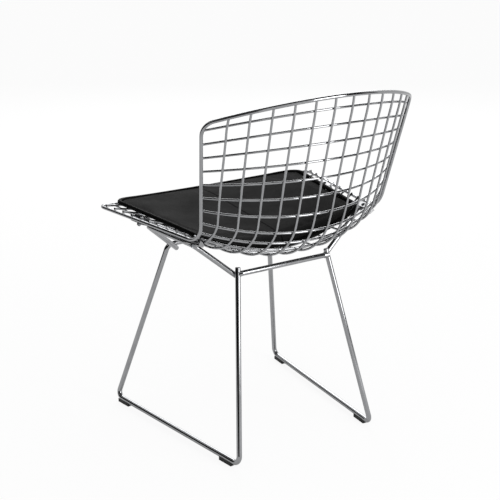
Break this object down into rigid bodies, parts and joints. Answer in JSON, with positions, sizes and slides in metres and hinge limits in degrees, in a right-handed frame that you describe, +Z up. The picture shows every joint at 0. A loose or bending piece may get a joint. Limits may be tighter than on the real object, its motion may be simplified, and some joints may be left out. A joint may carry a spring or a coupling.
{
  "type": "wire mesh side chair",
  "caption": "Side chair with a bowed shell of crossed chromed wires on a bent rod sled frame, and a loose charcoal seat pad.",
  "frame": {"origin": "on the floor under the middle of the chair's width and overall depth", "axes": "+X to the sitter's left, -Y to the front, +Z up"},
  "size_m": [0.5426, 0.548, 0.7585],
  "materials": {
    "chrome_wire": "polished",
    "chrome_rod": "polished",
    "clamp_steel": "polished",
    "fastener_steel": "satin",
    "glide_plastic": "matte",
    "board_plastic": "matte",
    "pad_leather": "matte",
    "welt_leather": "matte"
  },
  "bodies": {
    "frame": {"perimeter_rod": "chrome_rod", "fore_aft_wire_01": "chrome_wire", "fore_aft_wire_02": "chrome_wire", "fore_aft_wire_03": "chrome_wire", "fore_aft_wire_04": "chrome_wire", "fore_aft_wire_05": "chrome_wire", "fore_aft_wire_06": "chrome_wire", "fore_aft_wire_07": "chrome_wire", "fore_aft_wire_08": "chrome_wire", "fore_aft_wire_09": "chrome_wire", "fore_aft_wire_10": "chrome_wire", "fore_aft_wire_11": "chrome_wire", "fore_aft_wire_12": "chrome_wire", "cross_wire_01": "chrome_wire", "cross_wire_02": "chrome_wire", "cross_wire_03": "chrome_wire", "cross_wire_04": "chrome_wire", "cross_wire_05": "chrome_wire", "cross_wire_06": "chrome_wire", "cross_wire_07": "chrome_wire", "cross_wire_08": "chrome_wire", "cross_wire_09": "chrome_wire", "cross_wire_10": "chrome_wire", "cross_wire_11": "chrome_wire", "cross_wire_12": "chrome_wire", "cross_wire_13": "chrome_wire", "cross_wire_14": "chrome_wire", "cross_wire_15": "chrome_wire", "cross_wire_16": "chrome_wire", "cross_wire_17": "chrome_wire", "cross_wire_18": "chrome_wire", "cross_wire_19": "chrome_wire", "cross_wire_20": "chrome_wire", "sled_frame": "chrome_rod", "rear_crossbar": "chrome_rod", "side_rail_left": "chrome_rod", "side_rail_right": "chrome_rod", "saddle_front_left": "clamp_steel", "saddle_front_right": "clamp_steel", "saddle_rear_left": "clamp_steel", "saddle_rear_right": "clamp_steel", "clamp_plate_front_left": "clamp_steel", "clamp_plate_front_right": "clamp_steel", "clamp_plate_rear_left": "clamp_steel", "clamp_plate_rear_right": "clamp_steel", "clamp_bolts": "fastener_steel", "clamp_nuts": "fastener_steel", "glide_front_left": "glide_plastic", "glide_front_right": "glide_plastic", "glide_rear_left": "glide_plastic", "glide_rear_right": "glide_plastic"},
    "pad": {"pad_board": "board_plastic", "pad_cover": "pad_leather", "pad_welt": "welt_leather"}
  },
  "joints": [
    {"name": "pad_lift", "type": "slide", "parent": "frame", "child": "pad", "axis": [0, 0, 1], "range_m": [0, 0.36]}
  ]
}
